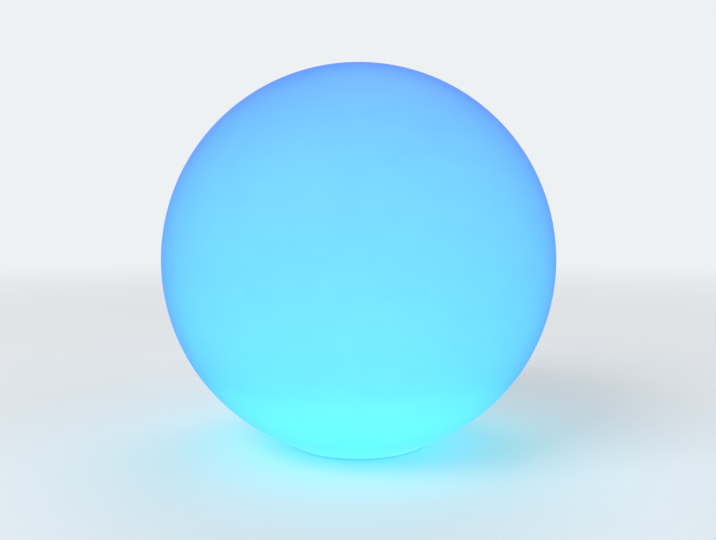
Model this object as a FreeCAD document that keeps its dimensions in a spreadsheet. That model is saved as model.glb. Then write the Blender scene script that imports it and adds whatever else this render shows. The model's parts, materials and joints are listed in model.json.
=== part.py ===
import FreeCAD, Part
import math
import os
import Sketcher

# A cordless glow globe for the garden: a hollow translucent ball that stands on a flat
# foot moulded into it. A sealed core is screwed into the neck in the foot and holds the
# lamp, the cell, the control board and, on its underside, a push button, a charging
# socket behind a hinged cover and a ring to hang the globe by.
#
# Lengths are millimetres. The origin is the middle of the foot, on the ground, +Z up.
# The hanging ring lies towards +Y, the button and the charging socket towards -Y.

SIZES = {
    # globe and its foot
    "globe_radius": 150.0,
    "globe_wall": 3.0,
    "foot_width": 7.0,
    "foot_height": 2.2,
    "foot_floor": 4.5,
    "foot_edge_width": 2.6,
    "foot_edge_height": 0.75,
    "flare_width": 10.0,
    "flare_bend": 95.0,
    # recess in the foot, with the land that the core is screwed to
    "land_width": 8.5,
    "land_thickness": 5.0,
    "collar_wall": 3.5,
    "boss_radius": 4.0,
    "boss_height": 6.0,
    "insert_radius": 2.2,
    "insert_waist": 0.4,
    "insert_band": 2.4,
    "insert_length": 6.0,
    # base housing
    "base_rise": 2.0,
    "flange_gap": 0.5,
    "flange_thickness": 3.2,
    "gasket_thickness": 1.0,
    "gasket_gap": 0.3,
    "neck_gap": 0.6,
    "tub_wall": 2.5,
    "dish_step": 2.0,
    "dish_rise": 7.0,
    "floor_thickness": 2.5,
    "dish_fillet": 1.5,
    "housing_round": 0.8,
    # screws: large ones hold the base and the lid, small ones everything else
    "large_shank": 1.5,
    "large_head": 2.8,
    "large_head_height": 1.8,
    "large_length": 8.0,
    "small_shank": 1.0,
    "small_head": 1.9,
    "small_head_height": 1.3,
    "small_length": 4.5,
    "head_chamfer": 0.4,
    "screw_tip_gap": 0.4,
    "screw_gap": 0.2,
    "pilot_gap": 0.05,
    "base_screw_count": 6.0,
    "counterbore_gap": 0.3,
    "counterbore_depth": 1.4,
    "lid_screw_count": 4.0,
    "lid_screw_inset": 1.2,
    "lid_post_radius": 2.8,
    # power button and its switch
    "button_x": -13.0,
    "button_y": -15.0,
    "button_radius": 7.0,
    "button_rise": 4.0,
    "button_rim": 1.5,
    "button_hollow": 0.35,
    "button_face": 5.8,
    "button_round": 0.4,
    "button_travel": 1.2,
    "stem_radius": 2.2,
    "stem_gap": 0.3,
    "collar_gap": 0.3,
    "collar_thickness": 1.5,
    "collar_rise": 4.6,
    "collar_round": 0.4,
    "seal_radius": 5.0,
    "seal_thickness": 1.5,
    "seal_grip": 0.1,
    "clip_radius": 3.4,
    "clip_thickness": 0.6,
    "clip_groove": 0.4,
    "clip_fit": 0.03,
    "clip_lift": 0.5,
    "stem_tip": 0.4,
    "switch_width": 6.0,
    "switch_height": 3.1,
    "plunger_radius": 1.7,
    "plunger_length": 2.6,
    "plunger_gap": 0.1,
    # charging socket, its cover and the charge light
    "port_x": 13.0,
    "port_y": -15.0,
    "socket_width": 9.0,
    "socket_depth": 10.0,
    "nose_radius": 4.0,
    "nose_gap": 0.1,
    "socket_bore": 3.15,
    "socket_bore_depth": 8.5,
    "socket_pin_radius": 1.0,
    "socket_pin_inset": 1.2,
    "cover_half_width": 7.0,
    "cover_reach": 16.0,
    "cover_thickness": 1.6,
    "cover_corner": 3.0,
    "cover_round": 0.5,
    "hinge_from_port": 8.5,
    "hinge_rise": 4.6,
    "knuckle_radius": 1.9,
    "pin_radius": 0.75,
    "pin_fit": 0.02,
    "pin_play": 0.08,
    "lug_thickness": 2.0,
    "lug_gap": 0.3,
    "plug_pad_radius": 5.0,
    "plug_radius": 2.4,
    "plug_reach": 1.2,
    "plug_gap": 0.3,
    "light_y": -13.0,
    "light_pipe_radius": 1.5,
    "light_pipe_flange": 2.3,
    "light_pipe_flange_height": 1.0,
    "light_pipe_fit": 0.05,
    "light_pipe_proud": 0.4,
    "indicator_length": 1.6,
    "indicator_width": 0.8,
    "indicator_height": 0.6,
    # hanging ring and its bracket
    "ring_y": 5.0,
    "ring_rise": 4.2,
    "ring_wire": 1.4,
    "ring_half_width": 13.0,
    "ring_corner": 3.0,
    "ring_leg": 5.0,
    "ring_play": 0.08,
    "strap_thickness": 1.0,
    "strap_half_width": 5.0,
    "strap_ear": 9.0,
    "strap_screw_offset": 6.4,
    "stop_gap": 0.7,
    "stop_thickness": 2.0,
    "stop_half_width": 13.5,
    "stop_rise": 2.4,
    # control board
    "board_gap": 1.5,
    "board_thickness": 1.6,
    "board_post_height": 7.5,
    "board_post_inset": 5.0,
    "board_post_count": 3.0,
    "post_radius": 2.5,
    "pilot_depth": 5.5,
    "screw_boss_height": 3.5,
    # pieces soldered to the control board
    "chip_x": -6.0,
    "chip_y": -6.0,
    "chip_width": 7.0,
    "chip_height": 1.2,
    "transistor_x": -19.0,
    "transistor_y": -12.0,
    "transistor_pitch": 4.0,
    "transistor_length": 3.0,
    "transistor_width": 1.6,
    "transistor_height": 1.1,
    "capacitor_radius": 3.1,
    "capacitor_height": 4.2,
    "inductor_x": 9.5,
    "inductor_y": -13.5,
    "inductor_width": 7.0,
    "inductor_height": 3.8,
    "resistor_x": 1.0,
    "resistor_y": -7.0,
    "resistor_row": 3.5,
    "resistor_pitch": 2.5,
    "resistor_length": 1.6,
    "resistor_width": 0.8,
    "resistor_height": 0.5,
    # battery tray, cell and strap
    "tray_post_height": 14.0,
    "tray_post_inset": 4.4,
    "tray_thickness": 2.0,
    "tray_half_length": 22.0,
    "tray_edge": 0.5,
    "tray_arm_half_width": 4.5,
    "tray_arm_gap": 1.4,
    "tray_screw_length": 5.5,
    "cradle_offset": 17.0,
    "cradle_thickness": 4.0,
    "cradle_wall": 3.0,
    "cell_radius": 9.2,
    "cell_length": 65.0,
    "cell_cap_radius": 3.2,
    "cell_cap_height": 1.0,
    "cell_gap": 0.3,
    "cell_end_room": 2.9,
    "tab_thickness": 0.3,
    "tab_width": 6.0,
    "tab_height": 11.0,
    "clamp_thickness": 1.5,
    "clamp_half_width": 6.0,
    "clamp_screw_gap": 1.5,
    "clamp_ear_edge": 2.6,
    "clamp_boss_drop": 2.0,
    # wires and their plugs
    "lead_radius": 0.6,
    "lead_gap": 0.1,
    "lead_offset": 1.2,
    "lead_turn_room": 4.5,
    "harness_radius": 0.42,
    "harness_pitch": 1.05,
    "header_length": 6.0,
    "header_height": 4.6,
    "header_wall": 0.8,
    "battery_header_x": 13.0,
    "battery_header_half": 3.2,
    "led_header_x": 6.0,
    "harness_gap": 3.2,
    "led_header_half": 3.0,
    "plug_stub": 3.5,
    "plug_clearance": 0.1,
    # lid and lamp
    "lid_gap": 0.5,
    "lid_edge": 0.3,
    "spreader_thickness": 2.0,
    "wire_hole_edge": 0.1,
    "wire_hole_radius": 2.3,
    "led_board_gap": 5.4,
    "led_board_thickness": 1.6,
    "led_board_screw": 19.0,
    "led_count": 8.0,
    "led_circle": 12.0,
    "led_width": 5.0,
    "led_height": 1.6,
    "led_window_radius": 2.0,
    "led_window_depth": 0.8,
    "led_socket_gap": 5.5,
    "led_socket_length": 3.5,
    "led_socket_half": 2.7,
    "led_socket_height": 2.6,
    "dome_gap": 0.4,
    "dome_wall": 1.6,
    "dome_flange": 2.0,
    "dome_straight": 4.5,
    "dome_rise": 13.0,
}


class Size:
    """A size that knows its value and the formula over the sheet that gives it."""

    def __init__(self, value, formula):
        self.value = value
        self.formula = formula

    def __add__(self, other):
        other = sized(other)
        return Size(self.value + other.value, "(%s + %s)" % (self.formula, other.formula))

    def __sub__(self, other):
        other = sized(other)
        return Size(self.value - other.value, "(%s - %s)" % (self.formula, other.formula))

    def __mul__(self, other):
        other = sized(other)
        return Size(self.value * other.value, "(%s * %s)" % (self.formula, other.formula))

    def __truediv__(self, other):
        other = sized(other)
        return Size(self.value / other.value, "(%s / %s)" % (self.formula, other.formula))

    def __rsub__(self, other):
        return sized(other) - self

    def __neg__(self):
        return Size(-self.value, "(-1 * %s)" % self.formula)

    __radd__ = __add__
    __rmul__ = __mul__


def sized(number):
    """A plain number as a Size, or a Size as it is."""
    if isinstance(number, Size):
        return number
    return Size(number, str(number))


def square(size):
    return Size(size.value ** 2, "(%s ^ 2)" % size.formula)


def root(size):
    return Size(math.sqrt(size.value), "sqrt(%s)" % size.formula)


class Sizes:
    """The sheet's sizes by name."""


def fill_sheet(doc):
    """Write every size into the sheet with its name as alias, and return them as Sizes."""
    sheet = doc.addObject("Spreadsheet::Sheet", "Sizes")
    sizes = Sizes()
    for row, (name, number) in enumerate(SIZES.items(), start=1):
        sheet.set("A%d" % row, name)
        sheet.set("B%d" % row, str(number))
        sheet.setAlias("B%d" % row, name)
        setattr(sizes, name, Size(number, "Sizes." + name))
    doc.recompute()
    return sizes


doc = FreeCAD.newDocument("globe_light")
S = fill_sheet(doc)

# ------------------------------------------------------------------ heights and seats

cell_end = S.cell_length / 2
tub_inside = cell_end + S.cell_end_room
tub_radius = tub_inside + S.tub_wall
neck_radius = tub_radius + S.neck_gap
recess_radius = neck_radius + S.land_width
foot_radius = recess_radius + S.foot_width
centre_height = S.foot_height + root(square(S.globe_radius) - square(foot_radius))
foot_edge_bend = (square(S.foot_edge_width) + square(S.foot_edge_height)) / (
    2 * S.foot_edge_height)
flare_radius = foot_radius + S.flare_width
flare_top = centre_height - root(square(S.globe_radius) - square(flare_radius))
base_screw_circle = neck_radius + S.land_width / 2
land_bottom = S.base_rise + S.flange_thickness + S.gasket_thickness
land_top = land_bottom + S.land_thickness
collar_radius = recess_radius + S.collar_wall
dish_radius = tub_inside - S.dish_step
floor_top = S.dish_rise + S.floor_thickness
board_bottom = floor_top + S.board_post_height
board_top = board_bottom + S.board_thickness
tray_bottom = floor_top + S.tray_post_height
tray_top = tray_bottom + S.tray_thickness
tray_post_circle = tub_inside - S.tray_post_inset
board_radius = tray_post_circle - S.post_radius - S.board_gap
board_post_circle = board_radius - S.board_post_inset
cell_height = tray_top + S.cell_gap + S.cell_radius
cradle_radius = S.cell_radius + S.cell_gap
cradle_half_width = cradle_radius + S.cradle_wall
clamp_radius = cradle_radius + S.clamp_thickness
clamp_screw_offset = clamp_radius + S.small_head + S.clamp_screw_gap
clamp_ear = clamp_screw_offset + S.clamp_ear_edge
lid_screw_circle = tub_inside - S.lid_screw_inset
lid_screw_offset = lid_screw_circle / root(sized(2))
dome_radius = lid_screw_circle - S.large_head - S.dome_gap
dome_inside = dome_radius - S.dome_wall
harness_y = S.cell_radius + S.harness_gap
wire_hole_circle = dome_inside - S.wire_hole_radius - S.wire_hole_edge
wire_hole_x = root(square(wire_hole_circle) - square(harness_y))
tub_top = cell_height + clamp_radius + S.lid_gap
lid_top = tub_top + S.spreader_thickness
led_board_top = lid_top + S.led_board_thickness
switch_bottom = board_bottom - S.switch_height
clip_bottom = floor_top + S.seal_thickness + S.clip_lift
stem_top = clip_bottom + S.clip_thickness + S.stem_tip
hinge_y = S.port_y + S.hinge_from_port
cover_bottom = S.hinge_rise - S.cover_thickness / 2
header_middle = board_top + S.header_height / 2
tab_outside = cell_end + S.tab_thickness

# ------------------------------------------------------------------ building helpers

made = []
V = FreeCAD.Vector


def bind(thing, name, size):
    """Tie one property of a thing to the formula of a size."""
    if "Sizes." in size.formula:
        thing.setExpression(name, size.formula)


def place(thing, x, y, z):
    """Put a thing at x, y, z and tie its place to their formulas."""
    spot = [sized(x), sized(y), sized(z)]
    thing.Placement = FreeCAD.Placement(V(*[size.value for size in spot]), FreeCAD.Rotation())
    for axis, size in zip("xyz", spot):
        bind(thing, "Placement.Base." + axis, size)


def new_body(label, x=0, y=0, z=0):
    """An empty body with its own label and place, listed as a sub-part."""
    body = doc.addObject("PartDesign::Body", label)
    body.Label = label
    place(body, x, y, z)
    made.append(body)
    return body


def origin_feature(body, role):
    """One of the body's own planes or axes."""
    return [item for item in body.Origin.OriginFeatures if item.Role == role][0]


def new_sketch(body, role, level=0):
    """An empty sketch on one of the body's own planes, moved along its normal by level."""
    sketch = body.newObject("Sketcher::SketchObject", "Sketch")
    sketch.AttachmentSupport = (origin_feature(body, role), [""])
    sketch.MapMode = "FlatFace"
    level = sized(level)
    sketch.AttachmentOffset = FreeCAD.Placement(V(0, 0, level.value), FreeCAD.Rotation())
    bind(sketch, "AttachmentOffset.Base.z", level)
    return sketch


def fix_point(sketch, edge, point, u, v):
    """Hold one point of an edge at u, v."""
    for kind, axis, size in (("DistanceX", -2, sized(u)), ("DistanceY", -1, sized(v))):
        if size.formula == "0":
            sketch.addConstraint(Sketcher.Constraint("PointOnObject", edge, point, axis))
        else:
            index = sketch.addConstraint(Sketcher.Constraint(kind, edge, point, size.value))
            bind(sketch, "Constraints[%d]" % index, size)


def fix_radius(sketch, edge, radius):
    index = sketch.addConstraint(Sketcher.Constraint("Radius", edge, radius.value))
    bind(sketch, "Constraints[%d]" % index, radius)


def arc_between(start, end, bend):
    """The short arc from start to end: it turns left where bend is positive, else right."""
    chord = end - start
    left = V(-chord.y, chord.x, 0).normalize()
    depth = math.sqrt(bend ** 2 - chord.Length ** 2 / 4)
    centre = (start + end) / 2 + left * math.copysign(depth, bend)
    circle = Part.Circle(centre, V(0, 0, 1), abs(bend))
    first, last = (start, end) if bend > 0 else (end, start)
    return Part.ArcOfCircle(circle, circle.parameter(first), circle.parameter(last))


def draw(sketch, corners):
    """A closed outline. A corner is (u, v), or (u, v, bend) where an arc leads to the next.

    The arc's radius is the size of bend, and it turns left where bend is positive.
    """
    edges = []
    for index, corner in enumerate(corners):
        follower = corners[(index + 1) % len(corners)]
        start = V(sized(corner[0]).value, sized(corner[1]).value, 0)
        end = V(sized(follower[0]).value, sized(follower[1]).value, 0)
        if len(corner) == 2:
            edges.append((sketch.addGeometry(Part.LineSegment(start, end)), 1, 2))
        elif corner[2].value > 0:
            edges.append((sketch.addGeometry(arc_between(start, end, corner[2].value)), 1, 2))
        else:
            edges.append((sketch.addGeometry(arc_between(start, end, corner[2].value)), 2, 1))
    for index, (edge, first, last) in enumerate(edges):
        following, start, _ = edges[(index + 1) % len(edges)]
        sketch.addConstraint(Sketcher.Constraint("Coincident", edge, last, following, start))
    for (edge, first, last), corner in zip(edges, corners):
        fix_point(sketch, edge, first, corner[0], corner[1])
        if len(corner) == 3:
            bend = corner[2]
            fix_radius(sketch, edge, bend if bend.value > 0 else -bend)
    return sketch


def rectangle(sketch, low_u, high_u, low_v, high_v):
    return draw(sketch, [(low_u, low_v), (high_u, low_v), (high_u, high_v), (low_u, high_v)])


def circle(sketch, u, v, radius):
    """A circle of the sketch, with its centre at u, v."""
    centre = V(sized(u).value, sized(v).value, 0)
    edge = sketch.addGeometry(Part.Circle(centre, V(0, 0, 1), radius.value))
    fix_point(sketch, edge, 3, u, v)
    fix_radius(sketch, edge, radius)
    return sketch


def upright_axis(sketch, u, low, high):
    """A construction line to turn an outline about, and its name."""
    line = Part.LineSegment(V(u.value, low.value, 0), V(u.value, high.value, 0))
    edge = sketch.addGeometry(line, True)
    fix_point(sketch, edge, 1, u, low)
    fix_point(sketch, edge, 2, u, high)
    return "Axis0"


def revolve(body, sketch, axis="V_Axis"):
    """Turn the sketch once round one of its axes."""
    feature = body.newObject("PartDesign::Revolution", "Revolution")
    feature.Profile = sketch
    feature.ReferenceAxis = (sketch, [axis])
    feature.Angle = 360
    return feature


def extrude(body, kind, sketch, length, backwards=False, both_ways=False):
    """A pad or a pocket of the sketch, with its length tied to a formula."""
    feature = body.newObject("PartDesign::" + kind, kind)
    feature.Profile = sketch
    feature.Length = length.value
    feature.Reversed = backwards
    feature.Midplane = both_ways
    bind(feature, "Length", length)
    return feature


def pad(body, sketch, length, both_ways=False):
    """Material from the sketch along its normal, or half of it on either side."""
    return extrude(body, "Pad", sketch, length, False, both_ways)


def pocket_up(body, sketch, depth):
    """A pocket from the sketch along its normal."""
    return extrude(body, "Pocket", sketch, depth, True)


def pocket_down(body, sketch, depth):
    """A pocket from the sketch against its normal."""
    return extrude(body, "Pocket", sketch, depth)


def around(body, features, count):
    """Repeat features round the body's upright axis."""
    pattern = body.newObject("PartDesign::PolarPattern", "Around")
    pattern.Originals = features
    pattern.Axis = (origin_feature(body, "Z_Axis"), [""])
    pattern.Angle = 360
    pattern.Occurrences = int(count.value)
    bind(pattern, "Occurrences", count)
    body.Tip = pattern


def turned_piece(label, corners, x=0, y=0):
    """A body of one outline turned round its own upright axis, which stands at x, y."""
    body = new_body(label, x, y)
    revolve(body, draw(new_sketch(body, "XZ_Plane"), corners))
    return body


def cylinder(body, x, y, radius, bottom, height):
    """A round pad that stands at x, y."""
    return pad(body, circle(new_sketch(body, "XY_Plane", bottom), x, y, radius), height)


def hole(body, x, y, radius, bottom, height):
    """A round pocket from bottom upwards."""
    return pocket_up(body, circle(new_sketch(body, "XY_Plane", bottom), x, y, radius), height)


def flat_ring(body, outer, inner, bottom, thickness):
    """A flat ring, or the annular wall of a collar."""
    sketch = new_sketch(body, "XY_Plane", bottom)
    circle(sketch, 0, 0, outer)
    circle(sketch, 0, 0, inner)
    return pad(body, sketch, thickness)


def round_rim(body, level, radius):
    """Round every edge of the body so far that lies level at this height."""
    doc.recompute()
    base = body.Tip
    flat = [
        "Edge%d" % number
        for number, edge in enumerate(base.Shape.Edges, start=1)
        if edge.BoundBox.ZMax < level.value + 1e-4 and edge.BoundBox.ZMin > level.value - 1e-4
    ]
    feature = body.newObject("PartDesign::Fillet", "Round")
    feature.Base = (base, flat)
    feature.Radius = radius.value
    bind(feature, "Radius", radius)


def block(name, low_x, low_y, low_z, length, width, height):
    """A plain block with its lowest corner at low_x, low_y, low_z."""
    box = doc.addObject("Part::Box", name)
    for side, size in zip(("Length", "Width", "Height"), (length, width, height)):
        setattr(box, side, sized(size).value)
        bind(box, side, sized(size))
    place(box, low_x, low_y, low_z)
    return box


def sub_part(thing, label):
    """List a thing that isn't a body as a sub-part."""
    thing.Label = label
    made.append(thing)
    return thing


def group(label, members):
    """Several like pieces in one node, each a solid of its own."""
    compound = doc.addObject("Part::Compound", label)
    compound.Links = members
    return sub_part(compound, label)


def hollowed(label, base, tool):
    """A piece less what it holds."""
    cut = doc.addObject("Part::Cut", label)
    cut.Base = base
    cut.Tool = tool
    return sub_part(cut, label)


# ------------------------------------------------------------------ screws

# the cross recess, in shares of the screw head's radius and height
CROSS_ARM = 0.6
CROSS_HALF = 0.16
CROSS_DEPTH = 0.6


def screw(body, kind, x, y, seat, way, length):
    """One pan head screw with a cross recess. Its shank points up where way is 1, else down."""
    shank = getattr(S, kind + "_shank")
    head = getattr(S, kind + "_head")
    face = seat - way * getattr(S, kind + "_head_height")
    tip = seat + way * length
    sketch = new_sketch(body, "XZ_Plane", -sized(y))
    corners = [
        (x, face),
        (x + head - S.head_chamfer, face),
        (x + head, face + way * S.head_chamfer),
        (x + head, seat),
        (x + shank, seat),
        (x + shank, tip - way * shank / 2),
        (x + shank / 2, tip),
        (x, tip),
    ]
    draw(sketch, corners)
    turned = revolve(body, sketch, upright_axis(sketch, x, seat, tip))
    arm = head * CROSS_ARM
    half = head * CROSS_HALF
    cross = new_sketch(body, "XY_Plane", face)
    steps = [
        (half, arm), (-half, arm), (-half, half), (-arm, half), (-arm, -half), (-half, -half),
        (-half, -arm), (half, -arm), (half, -half), (arm, -half), (arm, half), (half, half),
    ]
    draw(cross, [(x + across, y + along) for across, along in steps])
    recess = pocket_up if way > 0 else pocket_down
    return [turned, recess(body, cross, getattr(S, kind + "_head_height") * CROSS_DEPTH)]


def screw_set(label, kind, spots, seat, way, length, count=None):
    """Like screws at each spot, or at count places round the upright axis."""
    body = new_body(label)
    for x, y in spots:
        features = screw(body, kind, sized(x), sized(y), seat, way, length)
    if count:
        around(body, features, count)


def pilot(kind):
    """Radius of the hole that a screw cuts its thread in."""
    return getattr(S, kind + "_shank") + S.pilot_gap


def clear_hole(kind):
    """Radius of the hole that a screw passes through."""
    return getattr(S, kind + "_shank") + S.screw_gap


# ------------------------------------------------------------------ globe

def make_globe_shell():
    body = new_body("globe_shell")
    inside = S.globe_radius - S.globe_wall
    floor_meets = root(square(inside) - square(centre_height - S.foot_floor))
    corners = [
        (neck_radius, land_bottom),
        (recess_radius, land_bottom),
        (recess_radius, 0),
        (foot_radius - S.foot_edge_width, 0, foot_edge_bend),
        (foot_radius, S.foot_edge_height, -S.flare_bend),
        (flare_radius, flare_top, S.globe_radius),
        (0, centre_height + S.globe_radius),
        (0, centre_height + inside, -inside),
        (floor_meets, S.foot_floor),
        (collar_radius, S.foot_floor),
        (collar_radius, land_top),
        (neck_radius, land_top),
    ]
    revolve(body, draw(new_sketch(body, "XZ_Plane"), corners))
    boss = cylinder(
        body, base_screw_circle, 0, S.boss_radius, land_bottom, S.land_thickness + S.boss_height)
    seat = hole(
        body, base_screw_circle, 0, S.insert_radius + S.pilot_gap,
        land_bottom, S.large_length + S.pilot_gap)
    around(body, [boss, seat], S.base_screw_count)


def make_neck_inserts():
    body = new_body("neck_inserts")
    sketch = new_sketch(body, "XZ_Plane")
    bore = base_screw_circle + pilot("large")
    outside = base_screw_circle + S.insert_radius
    waist = outside - S.insert_waist
    top = land_bottom + S.insert_length
    low_band = land_bottom + S.insert_band
    high_band = top - S.insert_band
    corners = [
        (bore, land_bottom),
        (outside, land_bottom),
        (outside, low_band),
        (waist, low_band),
        (waist, high_band),
        (outside, high_band),
        (outside, top),
        (bore, top),
    ]
    draw(sketch, corners)
    turned = revolve(body, sketch, upright_axis(sketch, base_screw_circle, land_bottom, top))
    around(body, [turned], S.base_screw_count)


def make_neck_gasket():
    body = new_body("neck_gasket")
    bottom = land_bottom - S.gasket_thickness
    outer = recess_radius - S.flange_gap - S.gasket_gap
    flat_ring(body, outer, neck_radius + S.gasket_gap, bottom, S.gasket_thickness)
    radius = clear_hole("large")
    cut = hole(body, base_screw_circle, 0, radius, bottom, S.gasket_thickness)
    around(body, [cut], S.base_screw_count)


# ------------------------------------------------------------------ base housing

def post(body, x, y, radius, height, kind, depth):
    """A post on the housing's floor with a pilot hole in its top."""
    root_depth = S.floor_thickness / 2
    stand = cylinder(body, x, y, radius, floor_top - root_depth, height + root_depth)
    top = new_sketch(body, "XY_Plane", floor_top + height)
    return [stand, pocket_down(body, circle(top, x, y, pilot(kind)), depth)]


def add_screw_holes(body):
    """Counterbored holes in the flange, for the screws that hold the base."""
    x = base_screw_circle
    through = hole(body, x, 0, clear_hole("large"), S.base_rise, S.flange_thickness)
    wide = S.large_head + S.counterbore_gap
    counterbore = hole(body, x, 0, wide, S.base_rise, S.counterbore_depth)
    around(body, [through, counterbore], S.base_screw_count)


def add_posts(body):
    """Posts for the lid, the battery tray and the control board."""
    corner = lid_screw_offset
    lid = post(
        body, corner, corner, S.lid_post_radius, tub_top - floor_top, "large", S.large_length)
    around(body, lid, S.lid_screw_count)
    tray = post(
        body, 0, tray_post_circle, S.post_radius, S.tray_post_height, "small", S.pilot_depth)
    around(body, tray, sized(2))
    board = post(
        body, 0, -board_post_circle, S.post_radius, S.board_post_height, "small", S.pilot_depth)
    around(body, board, S.board_post_count)


def add_button_seat(body):
    """A collar that guards the button, and the hole for its stem."""
    sketch = new_sketch(body, "XY_Plane", S.collar_rise)
    inner = S.button_radius + S.collar_gap
    circle(sketch, S.button_x, S.button_y, inner)
    circle(sketch, S.button_x, S.button_y, inner + S.collar_thickness)
    pad(body, sketch, S.dish_rise - S.collar_rise + S.floor_thickness / 2)
    round_rim(body, S.collar_rise, S.collar_round)
    radius = S.stem_radius + S.stem_gap
    hole(body, S.button_x, S.button_y, radius, S.dish_rise, S.floor_thickness)


def add_port_seat(body):
    """Holes for the socket's nose and the light pipe, and two lugs for the cover's pin."""
    radius = S.nose_radius + S.nose_gap
    hole(body, S.port_x, S.port_y, radius, S.dish_rise, S.floor_thickness)
    radius = S.light_pipe_radius + S.light_pipe_fit
    hole(body, 0, S.light_y, radius, S.dish_rise, S.floor_thickness)
    high = S.dish_rise + S.floor_thickness / 2
    for start in (-S.cover_half_width, S.cover_half_width - S.lug_thickness):
        sketch = new_sketch(body, "YZ_Plane", S.port_x + start)
        corners = [
            (hinge_y - S.knuckle_radius, S.hinge_rise, S.knuckle_radius),
            (hinge_y, S.hinge_rise - S.knuckle_radius, S.knuckle_radius),
            (hinge_y + S.knuckle_radius, S.hinge_rise),
            (hinge_y + S.knuckle_radius, high),
            (hinge_y - S.knuckle_radius, high),
        ]
        draw(sketch, corners)
        circle(sketch, hinge_y, S.hinge_rise, S.pin_radius + S.pin_fit)
        pad(body, sketch, S.lug_thickness)


def add_ring_bosses(body):
    """Blind bosses above the floor for the bracket's screws."""
    for side in (1, -1):
        y = S.ring_y + side * S.strap_screw_offset
        root_depth = S.floor_thickness / 2
        cylinder(
            body, 0, y, S.post_radius, floor_top - root_depth, S.screw_boss_height + root_depth)
        hole(body, 0, y, pilot("small"), S.dish_rise, S.small_length)


def make_base_housing():
    body = new_body("base_housing")
    flange_radius = recess_radius - S.flange_gap
    corners = [
        (0, S.dish_rise),
        (dish_radius - S.dish_fillet, S.dish_rise, -S.dish_fillet),
        (dish_radius, S.dish_rise - S.dish_fillet),
        (dish_radius, S.base_rise + S.housing_round, S.housing_round),
        (dish_radius + S.housing_round, S.base_rise),
        (flange_radius - S.housing_round, S.base_rise, S.housing_round),
        (flange_radius, S.base_rise + S.housing_round),
        (flange_radius, S.base_rise + S.flange_thickness),
        (tub_radius, S.base_rise + S.flange_thickness),
        (tub_radius, tub_top),
        (tub_inside, tub_top),
        (tub_inside, floor_top),
        (0, floor_top),
    ]
    revolve(body, draw(new_sketch(body, "XZ_Plane"), corners))
    add_posts(body)
    add_screw_holes(body)
    add_button_seat(body)
    add_port_seat(body)
    add_ring_bosses(body)


def make_base_screws():
    seat = S.base_rise + S.counterbore_depth
    spots = [(base_screw_circle, 0)]
    screw_set("base_screws", "large", spots, seat, 1, S.large_length, S.base_screw_count)


# ------------------------------------------------------------------ power button

def make_button_cap():
    rim_top = S.button_rise + S.button_rim
    hollow = (square(S.button_face) + square(S.button_hollow)) / (2 * S.button_hollow)
    groove = S.stem_radius - S.clip_groove
    corners = [
        (0, S.button_rise + S.button_hollow, -hollow),
        (S.button_face, S.button_rise),
        (S.button_radius - S.button_round, S.button_rise, S.button_round),
        (S.button_radius, S.button_rise + S.button_round),
        (S.button_radius, rim_top),
        (S.stem_radius, rim_top),
        (S.stem_radius, clip_bottom),
        (groove, clip_bottom),
        (groove, clip_bottom + S.clip_thickness),
        (S.stem_radius, clip_bottom + S.clip_thickness),
        (S.stem_radius, stem_top),
        (0, stem_top),
    ]
    turned_piece("button_cap", corners, S.button_x, S.button_y)


def make_button_clip():
    """A snap ring with a gap, in the stem's groove."""
    body = new_body("button_clip", S.button_x, S.button_y)
    bore = S.stem_radius - S.clip_groove + S.clip_fit
    flat_ring(body, S.clip_radius, bore, clip_bottom, S.clip_thickness)
    sketch = new_sketch(body, "XY_Plane", clip_bottom)
    rectangle(sketch, 0, S.clip_radius, -bore / 2, bore / 2)
    pocket_up(body, sketch, S.clip_thickness)


def make_button_seal():
    body = new_body("button_seal", S.button_x, S.button_y)
    flat_ring(body, S.seal_radius, S.stem_radius + S.seal_grip, floor_top, S.seal_thickness)


def make_switch():
    """The switch hangs under the control board, and its plunger rises with the button."""
    body = new_body("switch_body", S.button_x, S.button_y)
    half = S.switch_width / 2
    pad(body, rectangle(new_sketch(body, "XY_Plane", switch_bottom), -half, half, -half, half),
        S.switch_height)
    plunger_bottom = stem_top + S.plunger_gap
    depth = plunger_bottom + S.plunger_length + S.button_travel + S.plunger_gap - switch_bottom
    hole(body, 0, 0, S.plunger_radius + S.plunger_gap, switch_bottom, depth)
    plunger = new_body("switch_plunger", S.button_x, S.button_y)
    cylinder(plunger, 0, 0, S.plunger_radius, plunger_bottom, S.plunger_length)


# ------------------------------------------------------------------ charging socket

def make_charge_socket():
    body = new_body("charge_socket", S.port_x, S.port_y)
    shoulder = floor_top + S.plug_gap
    across = S.socket_width / 2
    along = S.socket_depth / 2
    sketch = rectangle(new_sketch(body, "XY_Plane", shoulder), -across, across, -along, along)
    pad(body, sketch, board_bottom - shoulder)
    cylinder(body, 0, 0, S.nose_radius, S.dish_rise, S.floor_thickness + S.plug_gap)
    hole(body, 0, 0, S.socket_bore, S.dish_rise, S.socket_bore_depth)


def make_socket_pin():
    bottom = S.dish_rise + S.socket_pin_inset
    radius = S.socket_pin_radius
    tip = radius / 2
    corners = [
        (0, bottom),
        (radius - tip, bottom, tip),
        (radius, bottom + tip),
        (radius, S.dish_rise + S.socket_bore_depth),
        (0, S.dish_rise + S.socket_bore_depth),
    ]
    turned_piece("socket_pin", corners, S.port_x, S.port_y)


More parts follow.
